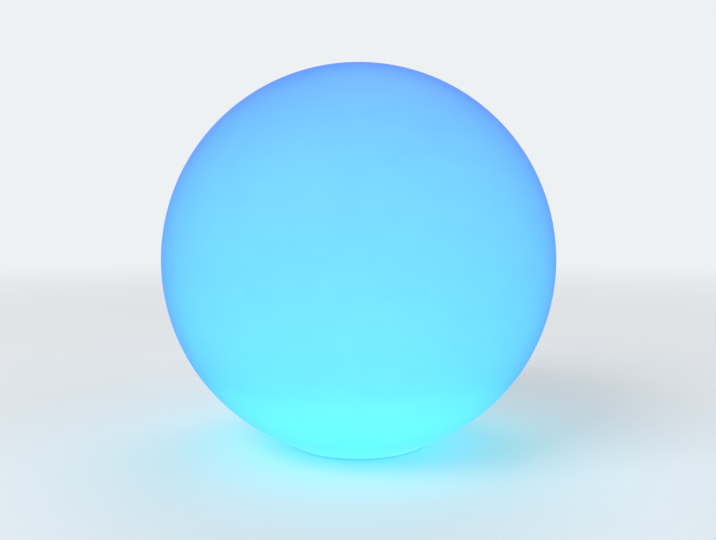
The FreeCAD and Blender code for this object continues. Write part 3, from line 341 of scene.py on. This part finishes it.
def glowing_shell():
    """Satin polyethylene, lit from inside: the tinted coat deepens the blue at a slant."""
    finish = Finish(
        "glowing_shell", roughness=0.5, specular_ior_level=0.1, coat_roughness=0.35,
        coat_ior=1.02, coat_tint=COAT_TINT, emission_strength=GLOW_STRENGTH)
    across = finish.axis("X")
    above_foot = finish.axis("Z")
    height = finish.span(above_foot, 0.0, cad_box[1].z, 0.0, 1.0)
    wall = finish.span(finish.noise(14, detail=3), 0.25, 0.75, 1 - GLOW_CHANGE, 1 + GLOW_CHANGE)
    lean = finish.span(across, -GLOBE_RADIUS, GLOBE_RADIUS, GLOW_LEFT, GLOW_RIGHT)
    scuffs = finish.span(finish.noise(420, detail=6), 0.52, 0.68, 0.0, SCUFF_SHARE)
    at_foot = finish.span(above_foot, SCUFF_LOW, SCUFF_HIGH, 1.0, 0.0)
    clean = finish.math("SUBTRACT", 1.0, finish.math("MULTIPLY", scuffs, at_foot))
    light = finish.math("MULTIPLY", finish.math("MULTIPLY", wall, lean), clean)
    finish.to("Emission Color", finish.scaled(glow_ramp(finish, height), light))
    finish.to("Coat Weight", finish.span(height, 0.0, COAT_FULL_FROM, COAT_AT_FOOT, 1.0))
    milky = finish.spread(finish.noise(55, detail=4))
    finish.to("Base Color", finish.blend(milky, display(28, 108, 128), display(36, 116, 136)))
    peel = finish.noise(420, detail=2)
    grain = finish.math("MULTIPLY", finish.noise(3800, detail=2), 0.25)
    finish.to("Roughness", finish.spread(peel, 0.46, 0.54))
    finish.relief(finish.math("ADD", peel, grain), depth=0.03 * MM, strength=0.8)
    return finish.material


# ------------------------------------------------------------------ other materials


def moulded_white():
    """White ABS with a fine spark texture, and painted shade in its corners, speckled in a dusty grey."""
    finish = Finish("base_plastic", specular_ior_level=0.5)
    tone = finish.spread(finish.noise(45, detail=3))
    clean = finish.blend(tone, display(226, 228, 226), display(234, 235, 233))
    speck = finish.span(finish.noise(900, detail=3), 0.35, 0.75, 0.15, 0.55)
    # painted shade: the more shut in a corner is, the more dusty grey is mixed in, in specks
    corner_shade = finish.span(finish.corners(2.2 * MM), 0.25, 0.95, 1.0, 0.0)
    share = finish.math("MULTIPLY", corner_shade, speck)
    finish.to("Base Color", finish.blend(share, clean, display(158, 154, 142)))
    finish.to("Roughness", finish.spread(finish.noise(160, detail=3), 0.40, 0.56))
    finish.relief(finish.noise(3600, detail=2), depth=0.03 * MM, strength=0.7, edge=0.15 * MM)
    return finish.material


def soft_rubber(name, dark, light, roughness=0.62):
    """Matt silicone with a powdery bloom."""
    finish = Finish(name, specular_ior_level=0.35, sheen_weight=0.25, sheen_roughness=0.5)
    bloom = finish.span(finish.noise(240, detail=4), 0.35, 0.7, 0.0, 1.0)
    finish.to("Base Color", finish.blend(bloom, dark, light))
    finish.to("Roughness", finish.spread(finish.noise(500, detail=2), roughness, roughness + 0.14))
    finish.relief(finish.noise(2600, detail=3), depth=0.02 * MM, strength=0.6, edge=0.2 * MM)
    return finish.material


def plain_plastic(name, dark, light, roughness=0.4):
    """Moulded plastic with slight flow marks and a fine grain."""
    finish = Finish(name, specular_ior_level=0.5)
    flow = finish.spread(finish.noise(90, detail=4, stretch=(1, 1, 3)))
    finish.to("Base Color", finish.blend(flow, dark, light))
    finish.to("Roughness", finish.spread(finish.noise(320, detail=3), roughness - 0.06, roughness + 0.08))
    finish.relief(finish.noise(3200, detail=2), depth=0.015 * MM, strength=0.6, edge=0.12 * MM)
    return finish.material


def metal(name, dark, light, roughness, stretch, edge=0.1 * MM, scratch=0.35):
    """Metal with fine scratches drawn out along one axis and faint smears."""
    finish = Finish(name, metallic=1.0)
    lines = finish.noise(1.0, detail=5, stretch=stretch)
    smear = finish.noise(130, detail=3)
    finish.to("Base Color", finish.blend(finish.spread(smear), dark, light))
    worn = finish.math("ADD", finish.spread(lines, 0.0, 0.29 * scratch), finish.spread(smear, 0.0, 0.08))
    finish.to("Roughness", finish.math("ADD", worn, roughness))
    finish.relief(lines, depth=0.012 * MM, strength=scratch, edge=edge)
    return finish.material


def circuit_board():
    """Green solder mask over bundles of tracks, and bare glass fibre at the sawn edge."""
    finish = Finish("circuit_board", specular_ior_level=0.5)
    one_way, other_way = (
        finish.span(
            finish.waves(260, wave_type="BANDS", bands_direction=direction), 0.62, 0.72, 0.0, 1.0)
        for direction in ("X", "Y"))
    turned = finish.span(finish.noise(110, detail=0), 0.49, 0.51, 0.0, 1.0)
    shown = finish.span(finish.noise(170, detail=1), 0.50, 0.52, 0.0, 1.0)
    tracks = finish.math("MULTIPLY", finish.blend(turned, one_way, other_way), shown)
    mask = finish.blend(tracks, display(16, 72, 40), display(40, 112, 62))
    upright = finish.axis("Z", finish.add("ShaderNodeNewGeometry").outputs["Normal"])
    flat = finish.math("GREATER_THAN", finish.math("ABSOLUTE", upright), 0.5)
    fibre = finish.blend(finish.noise(2400, detail=2), display(150, 150, 96), display(178, 176, 122))
    finish.to("Base Color", finish.blend(flat, fibre, mask))
    finish.to("Roughness", finish.span(tracks, 0.0, 1.0, 0.3, 0.24))
    finish.relief(tracks, depth=0.03 * MM, strength=0.5)
    return finish.material


def lamp_board():
    """White solder mask on an aluminium plate, over tracks in rings."""
    finish = Finish("lamp_board", specular_ior_level=0.5)
    rings = finish.waves(80, wave_type="RINGS", rings_direction="Z")
    tracks = finish.span(rings, 0.86, 0.9, 0.0, 1.0)
    finish.to("Base Color", finish.blend(tracks, display(236, 237, 234), display(214, 216, 212)))
    finish.to("Roughness", finish.spread(finish.noise(300, detail=2), 0.28, 0.4))
    finish.relief(tracks, depth=0.03 * MM, strength=0.5)
    return finish.material


def lamp_window():
    """Clear silicone over the chips, which are lit."""
    finish = Finish("lamp_window", roughness=0.2, emission_strength=1.0)
    tone = finish.spread(finish.noise(1500, detail=2))
    finish.to("Base Color", finish.blend(tone, display(205, 226, 140), display(225, 236, 170)))
    finish.to("Emission Color", finish.blend(tone, display(150, 235, 250), display(190, 245, 255)))
    finish.material.cycles.emission_sampling = "NONE"
    return finish.material


def frosted_dome():
    """Frosted polycarbonate."""
    finish = Finish("frosted_dome", specular_ior_level=0.4, transmission_weight=0.35, ior=1.58)
    frost = finish.noise(2200, detail=3)
    finish.to("Base Color", finish.blend(frost, display(226, 240, 244), display(238, 247, 249)))
    finish.to("Roughness", finish.spread(frost, 0.5, 0.65))
    finish.relief(frost, depth=0.02 * MM, strength=0.6)
    return finish.material


def shrink_sleeve():
    """Blue shrink sleeve, puckered a little where it is drawn tight."""
    finish = Finish("cell_sleeve", specular_ior_level=0.5, coat_weight=0.4, coat_roughness=0.15)
    pucker = finish.noise(1.0, detail=3, stretch=(160, 900, 900))
    finish.to("Base Color", finish.blend(pucker, display(32, 86, 160), display(44, 104, 182)))
    finish.to("Roughness", finish.spread(pucker, 0.24, 0.36))
    finish.relief(pucker, depth=0.05 * MM, strength=0.4)
    return finish.material


def clear_pipe():
    """Clear acrylic, slightly hazed at its end."""
    finish = Finish("clear_pipe", transmission_weight=0.9, ior=1.49)
    haze = finish.noise(1800, detail=2)
    finish.to("Base Color", finish.blend(haze, display(236, 244, 242), display(246, 250, 249)))
    finish.to("Roughness", finish.spread(haze, 0.12, 0.26))
    finish.relief(haze, depth=0.01 * MM, strength=0.4)
    return finish.material


def insulation(name, dark, light):
    """Soft wire insulation."""
    finish = Finish(name, specular_ior_level=0.5)
    bloom = finish.noise(700, detail=3)
    finish.to("Base Color", finish.blend(bloom, dark, light))
    finish.to("Roughness", finish.spread(bloom, 0.38, 0.52))
    finish.relief(finish.noise(1900, detail=2), depth=0.01 * MM, strength=0.5)
    return finish.material


FINISHES = {
    "glowing_shell": glowing_shell(),
    "base_plastic": moulded_white(),
    "button_rubber": soft_rubber("button_rubber", display(96, 99, 104), display(110, 113, 118)),
    "grey_silicone": soft_rubber("grey_silicone", display(150, 152, 154), display(158, 160, 161), 0.7),
    "black_plastic": plain_plastic("black_plastic", display(32, 32, 35), display(42, 42, 45)),
    "white_nylon": plain_plastic("white_nylon", display(222, 218, 204), display(234, 230, 218)),
    "stainless_steel": metal("stainless_steel", STEEL_DARK, STEEL_LIGHT, 0.22, (900, 900, 5000)),
    "brass": metal("brass", display(196, 158, 96), display(216, 180, 116), 0.2, (400, 400, 6000)),
    "aluminium": metal("aluminium", display(201, 203, 206), display(212, 213, 215), 0.3, (6000, 300, 300)),
    "circuit_board": circuit_board(),
    "lamp_board": lamp_board(),
    "lamp_window": lamp_window(),
    "frosted_dome": frosted_dome(),
    "cell_sleeve": shrink_sleeve(),
    "nickel": metal("nickel", display(196, 192, 182), display(216, 212, 202), 0.16, (3000, 500, 500)),
    "ferrite": plain_plastic("ferrite", display(58, 58, 60), display(78, 78, 80), 0.7),
    "red_wire": insulation("red_wire", display(170, 22, 20), display(196, 34, 28)),
    "black_wire": insulation("black_wire", display(28, 28, 28), display(40, 40, 41)),
    "white_wire": insulation("white_wire", display(220, 220, 216), display(236, 236, 232)),
    "clear_pipe": clear_pipe(),
}
BRUSHED_STRAP = metal("brushed_strap", STEEL_DARK, STEEL_LIGHT, 0.26, (250, 7000, 7000), edge=0.2 * MM)
RING_WIRE = metal("ring_wire", STEEL_DARK, STEEL_LIGHT, 0.16, (600, 600, 600), edge=0.0, scratch=0.12)


def dress_nodes():
    """Give every CAD node the finish of its slot. The strap and the ring have their own steel."""
    for row in frame["record"]["subparts"]:
        for place in frame["nodes"][row["node"]].material_slots:
            place.material = FINISHES[row["material_slot"]]
    frame["nodes"]["ring_bracket"].material_slots[0].material = BRUSHED_STRAP
    frame["nodes"]["hang_ring"].material_slots[0].material = RING_WIRE


# ------------------------------------------------------------------ mesh helpers


def add_to_scene(name, data):
    """A new object in the scene that shows this mesh, lamp or camera."""
    thing = bpy.data.objects.new(name, data)
    bpy.context.scene.collection.objects.link(thing)
    return thing


def close_mesh(mesh, name):
    """A finished bmesh as mesh data."""
    data = bpy.data.meshes.new(name)
    mesh.to_mesh(data)
    mesh.free()
    return data


def smooth_faces(mesh):
    """Shade every face smooth."""
    for face in mesh.faces:
        face.smooth = True


def arc_between(start, end, bend, steps):
    """Points (r, z) after start on the short arc to end. It turns left where bend is positive."""
    start = Vector(start)
    chord = Vector(end) - start
    left = Vector((-chord.y, chord.x)).normalized()
    depth = math.sqrt(bend ** 2 - chord.length_squared / 4)
    centre = start + chord / 2 + left * math.copysign(depth, bend)
    turn = math.copysign(2 * math.asin(chord.length / 2 / abs(bend)), bend)
    spoke = start - centre
    return [tuple(centre + Matrix.Rotation(turn * step / steps, 2) @ spoke) for step in range(1, steps + 1)]


def lathe(name, outline):
    """Turn a closed outline of (r, z) round the upright axis."""
    mesh = bmesh.new()
    turns = [math.tau * step / AROUND for step in range(AROUND)]
    rings = []
    for radius, height in outline:
        if radius < ON_AXIS:
            rings.append([mesh.verts.new((0, 0, height))])
        else:
            rings.append([
                mesh.verts.new((radius * math.cos(turn), radius * math.sin(turn), height))
                for turn in turns])
    for index, ring in enumerate(rings):
        other = rings[(index + 1) % len(rings)]
        if len(ring) == 1 and len(other) == 1:
            continue
        for step in range(AROUND):
            follower = (step + 1) % AROUND
            corners = [ring[step % len(ring)], ring[follower % len(ring)],
                       other[follower % len(other)], other[step % len(other)]]
            mesh.faces.new(list(dict.fromkeys(corners)))
    smooth_faces(mesh)
    bmesh.ops.recalc_face_normals(mesh, faces=mesh.faces)
    return add_to_scene(name, close_mesh(mesh, name))


def pegs(circle, radius, low, high):
    """A mesh of upright round pegs, one for each base screw."""
    mesh = bmesh.new()
    for number in range(BASE_SCREWS):
        turn = math.tau * number / BASE_SCREWS
        middle = (circle * math.cos(turn), circle * math.sin(turn), (low + high) / 2)
        bmesh.ops.create_cone(
            mesh, cap_ends=True, segments=PEG_SIDES, radius1=radius, radius2=radius,
            depth=high - low, matrix=Matrix.Translation(middle))
    smooth_faces(mesh)
    return close_mesh(mesh, "pegs")


def combine(piece, operation, data):
    """Add a mesh to a piece, or cut it out, for good."""
    tool = add_to_scene("tool", data)
    cut = piece.modifiers.new("cut", "BOOLEAN")
    cut.operation = operation
    cut.solver = "EXACT"
    cut.object = tool
    bpy.context.view_layer.update()
    graph = bpy.context.evaluated_depsgraph_get()
    result = bpy.data.meshes.new_from_object(piece.evaluated_get(graph))
    piece.modifiers.clear()
    bpy.data.objects.remove(tool)
    mesh = bmesh.new()
    mesh.from_mesh(result)
    bmesh.ops.remove_doubles(mesh, verts=mesh.verts, dist=CUT_SLACK)
    bmesh.ops.dissolve_degenerate(mesh, edges=mesh.edges, dist=CUT_SLACK)
    mesh.to_mesh(result)
    mesh.free()
    result.name = piece.name
    piece.data = result


# ------------------------------------------------------------------ globe


def on_ball(radius, ball):
    """Height at which the lower half of a ball about the globe's centre has this radius."""
    return CENTRE_HEIGHT - math.sqrt(ball ** 2 - radius ** 2)


def globe_outline(recess, neck, land_top):
    """The wall's section as points (r, z): foot, flare, outside, inside, collar and land."""
    inside = GLOBE_RADIUS - GLOBE_WALL
    collar = recess + COLLAR_WALL
    flare = FOOT_RADIUS + FLARE_WIDTH
    edge_bend = (FOOT_EDGE_WIDTH ** 2 + FOOT_EDGE_HEIGHT ** 2) / (2 * FOOT_EDGE_HEIGHT)
    floor_meets = math.sqrt(inside ** 2 - (CENTRE_HEIGHT - FOOT_FLOOR) ** 2)
    points = [(recess, 0.0), (FOOT_RADIUS - FOOT_EDGE_WIDTH, 0.0)]
    points += arc_between(points[-1], (FOOT_RADIUS, FOOT_EDGE_HEIGHT), edge_bend, FOOT_STEPS)
    points += arc_between(points[-1], (flare, on_ball(flare, GLOBE_RADIUS)), -FLARE_BEND, FOOT_STEPS)
    points += arc_between(points[-1], (0.0, CENTRE_HEIGHT + GLOBE_RADIUS), GLOBE_RADIUS, OUTSIDE_STEPS)
    points.append((0.0, CENTRE_HEIGHT + inside))
    points += arc_between(points[-1], (floor_meets, FOOT_FLOOR), -inside, INSIDE_STEPS)
    points += [(collar, FOOT_FLOOR), (collar, land_top), (neck, land_top), (neck, LAND_BOTTOM)]
    points.append((recess, LAND_BOTTOM))
    return points


def make_globe():
    """The moulded ball as one closed wall, with the core's six bosses and screw seats."""
    recess = FOOT_RADIUS - FOOT_WIDTH
    land_top = LAND_BOTTOM + LAND_THICKNESS
    globe = lathe("globe", globe_outline(recess, recess - LAND_WIDTH, land_top))
    circle = recess - LAND_WIDTH / 2
    boss_bottom = LAND_BOTTOM + LAND_THICKNESS / 2
    combine(globe, "UNION", pegs(circle, BOSS_RADIUS, boss_bottom, land_top + BOSS_HEIGHT))
    seat_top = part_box("base_screws")[1].z + SEAT_GAP
    combine(globe, "DIFFERENCE", pegs(circle, SEAT_RADIUS, 0.0, seat_top))
    globe.data.set_sharp_from_angle(angle=math.radians(CRISP_ANGLE))
    globe.data.materials.append(FINISHES["glowing_shell"])
    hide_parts("globe_shell")
    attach(globe, "globe")


# ------------------------------------------------------------------ mark on the button


def face_level(x, y):
    """Height of the button's dished face at x, y from its middle."""
    share = (x * x + y * y) / BUTTON_FACE ** 2
    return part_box("button_cap")[0].z + BUTTON_HOLLOW * (1 - share)


def round_end(point, side, onwards):
    """Points half way round the end of a strip, from side to the other side."""
    onwards = onwards.normalized() * side.length
    turns = [math.pi * step / END_STEPS for step in range(1, END_STEPS)]
    return [point + side * math.cos(turn) + onwards * math.sin(turn) for turn in turns]


def strip_rim(points):
    """Points round a strip with round ends, out along one side and back along the other."""
    sides = []
    for before, after in zip([points[0], *points[:-1]], [*points[1:], points[-1]]):
        along = (after - before).normalized()
        sides.append(Vector((-along.y, along.x)) * MARK_WIDTH / 2)
    rim = [point + side for point, side in zip(points, sides)]
    rim += round_end(points[-1], sides[-1], points[-1] - points[-2])
    rim += [point - side for point, side in zip(reversed(points), reversed(sides))]
    rim += round_end(points[0], -sides[0], points[0] - points[1])
    return rim


def fill_strip(mesh, rim, count):
    """Close one face of a strip whose sides have count points each."""
    ends = END_STEPS - 1
    left = rim[:count]
    right = list(reversed(rim[count + ends:2 * count + ends]))
    for step in range(count - 1):
        mesh.faces.new((left[step], left[step + 1], right[step + 1], right[step]))
    mesh.faces.new((left[-1], *rim[count:count + ends], right[-1]))
    mesh.faces.new((right[0], *rim[2 * count + ends:], left[0]))


def add_strip(mesh, path):
    """A raised strip along a path on the button's face."""
    rim = strip_rim([Vector(point) for point in path])
    low = [mesh.verts.new((p.x, p.y, face_level(p.x, p.y) - MARK_PROUD)) for p in rim]
    high = [mesh.verts.new((p.x, p.y, face_level(p.x, p.y) + MARK_PROUD)) for p in rim]
    for index in range(len(rim)):
        follower = (index + 1) % len(rim)
        mesh.faces.new((low[index], low[follower], high[follower], high[index]))
    for level in (low, high):
        fill_strip(mesh, level, len(path))


def make_power_mark():
    """The plain on-off sign, moulded in white into the button's face: an open ring and a bar."""
    bar_angle = 90.0
    first = math.radians(bar_angle + MARK_OPENING)
    last = math.radians(bar_angle + 360.0 - MARK_OPENING)
    angles = [first + (last - first) * step / MARK_STEPS for step in range(MARK_STEPS + 1)]
    ring = [(MARK_RADIUS * math.cos(angle), MARK_RADIUS * math.sin(angle)) for angle in angles]
    bar = [(0.0, BAR_START + (BAR_END - BAR_START) * step / BAR_STEPS) for step in range(BAR_STEPS + 1)]
    mesh = bmesh.new()
    add_strip(mesh, ring)
    add_strip(mesh, bar)
    bmesh.ops.recalc_face_normals(mesh, faces=mesh.faces)
    low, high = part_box("button_cap")
    middle = (low + high) / 2
    bmesh.ops.translate(mesh, verts=mesh.verts, vec=(middle.x, middle.y, 0.0))
    mark = add_to_scene("power_mark", close_mesh(mesh, "power_mark"))
    mark.data.materials.append(FINISHES["base_plastic"])
    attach(mark, "power_button")


# ------------------------------------------------------------------ floor and world

# the floor's half width and level, the distances between which it fades, and the world's light
FLOOR_HALF = 6.0
FLOOR_LEVEL = -0.2 * MM
FADE_START = 0.45
FADE_END = 2.4
WORLD_STRENGTH = 0.58


def floor_paint():
    """Pale paint that fades into the backdrop further out. From below it is clear."""
    material = bpy.data.materials.new("floor")
    nodes = Nodes(material)
    paint = nodes.plain("ShaderNodeBsdfDiffuse", FLOOR)
    far = nodes.plain("ShaderNodeEmission", BACKDROP)
    clear = nodes.plain("ShaderNodeBsdfTransparent", WHITE)
    distance = nodes.add("ShaderNodeVectorMath", operation="LENGTH")
    nodes.feed(distance, 0, nodes.add("ShaderNodeTexCoord").outputs["Object"])
    fade = nodes.span(
        distance.outputs["Value"], FADE_START, FADE_END, 0.0, 1.0, interpolation_type="SMOOTHSTEP")
    below = nodes.add("ShaderNodeNewGeometry").outputs["Backfacing"]
    surface = nodes.mixed(below, nodes.mixed(fade, paint, far), clear)
    nodes.feed(nodes.add("ShaderNodeOutputMaterial"), "Surface", surface)
    return material


def make_floor():
    """The floor under the globe. It takes light and shadow, but gives none back to the globe."""
    data = bpy.data.meshes.new("floor")
    corners = [(-FLOOR_HALF, -FLOOR_HALF), (FLOOR_HALF, -FLOOR_HALF),
               (FLOOR_HALF, FLOOR_HALF), (-FLOOR_HALF, FLOOR_HALF)]
    data.from_pydata([(*corner, FLOOR_LEVEL) for corner in corners], [], [(0, 1, 2, 3)])
    data.materials.append(floor_paint())
    floor = add_to_scene("floor", data)
    floor.visible_diffuse = False
    floor.visible_glossy = False
    floor.visible_transmission = False
    floor.visible_shadow = False


def make_world():
    """Even light all round, and the pale backdrop wherever it is seen or mirrored."""
    world = bpy.data.worlds.new("studio")
    bpy.context.scene.world = world
    nodes = Nodes(world)
    light = nodes.plain("ShaderNodeBackground", WHITE, WORLD_STRENGTH)
    backdrop = nodes.plain("ShaderNodeBackground", BACKDROP)
    rays = nodes.add("ShaderNodeLightPath").outputs
    seen = rays["Is Camera Ray"]
    for mirrored in ("Is Glossy Ray", "Is Transmission Ray"):
        seen = nodes.math("MAXIMUM", seen, rays[mirrored])
    surface = nodes.mixed(seen, light, backdrop)
    nodes.feed(nodes.add("ShaderNodeOutputWorld"), "Surface", surface)


# ------------------------------------------------------------------ lamps and camera

# name, place, width and power of each soft box
LAMPS = (
    ("key", (-1.8, -1.8, 2.2), 1.8, 46.0),
    ("fill", (2.2, -0.9, 1.2), 2.0, 12.0),
    ("back", (0.4, 1.6, 3.0), 1.8, 17.0),
    ("bounce", (0.1, -0.5, -1.1), 1.2, 5.0),
)

# the camera's distance from the ball's middle and its height above it, its sensor's width in
# millimetres, and the nearest and furthest that it sees
CAMERA_DISTANCE = 0.6
CAMERA_RISE = 0.036
CAMERA_SENSOR = 36.0
CAMERA_NEAR = 0.01
CAMERA_FAR = 50.0

# the ball in the photograph's frame, in pixels, and its real radius
FRAME_SIZE = (716, 540)
BALL_MIDDLE = (358.6, 259.6)
BALL_RADIUS = 197.8
BALL_REAL_RADIUS = 150.0 * MM


def make_lamp(name, place, width, power):
    """A square soft box that looks at the globe."""
    data = bpy.data.lights.new(name, "AREA")
    data.shape = "SQUARE"
    data.size = width
    data.energy = power
    direction = Vector((0.0, 0.0, CENTRE_HEIGHT)) - Vector(place)
    turn = direction.to_track_quat("-Z", "Y").to_matrix().to_4x4()
    lamp = add_to_scene(name, data)
    lamp.matrix_world = Matrix.Translation(place) @ turn


def make_camera():
    """The camera of the photograph: it looks along +Y and a little down on the globe."""
    spread = math.tan(math.asin(BALL_REAL_RADIUS / CAMERA_DISTANCE))
    focal = BALL_RADIUS / spread
    # the middle of a ball's outline lies further out than the image of its centre
    right = (BALL_MIDDLE[0] - FRAME_SIZE[0] / 2) / (1 + spread ** 2)
    above = (FRAME_SIZE[1] / 2 - BALL_MIDDLE[1]) / (1 + spread ** 2)
    data = bpy.data.cameras.new("camera")
    data.sensor_width = CAMERA_SENSOR
    data.lens = focal * CAMERA_SENSOR / FRAME_SIZE[0]
    data.clip_start = CAMERA_NEAR
    data.clip_end = CAMERA_FAR
    camera = add_to_scene("camera", data)
    level = math.sqrt(CAMERA_DISTANCE ** 2 - CAMERA_RISE ** 2)
    down = math.asin(CAMERA_RISE / CAMERA_DISTANCE) + math.atan(above / focal)
    camera.location = (0.0, -level, CENTRE_HEIGHT + CAMERA_RISE)
    camera.rotation_euler = (math.pi / 2 - down, 0.0, math.atan(right / focal))
    bpy.context.scene.camera = camera


# ------------------------------------------------------------------ the scene

bpy.context.scene.view_settings.view_transform = "Standard"
dress_nodes()
make_globe()
make_power_mark()
make_floor()
make_world()
for row in LAMPS:
    make_lamp(*row)
make_camera()
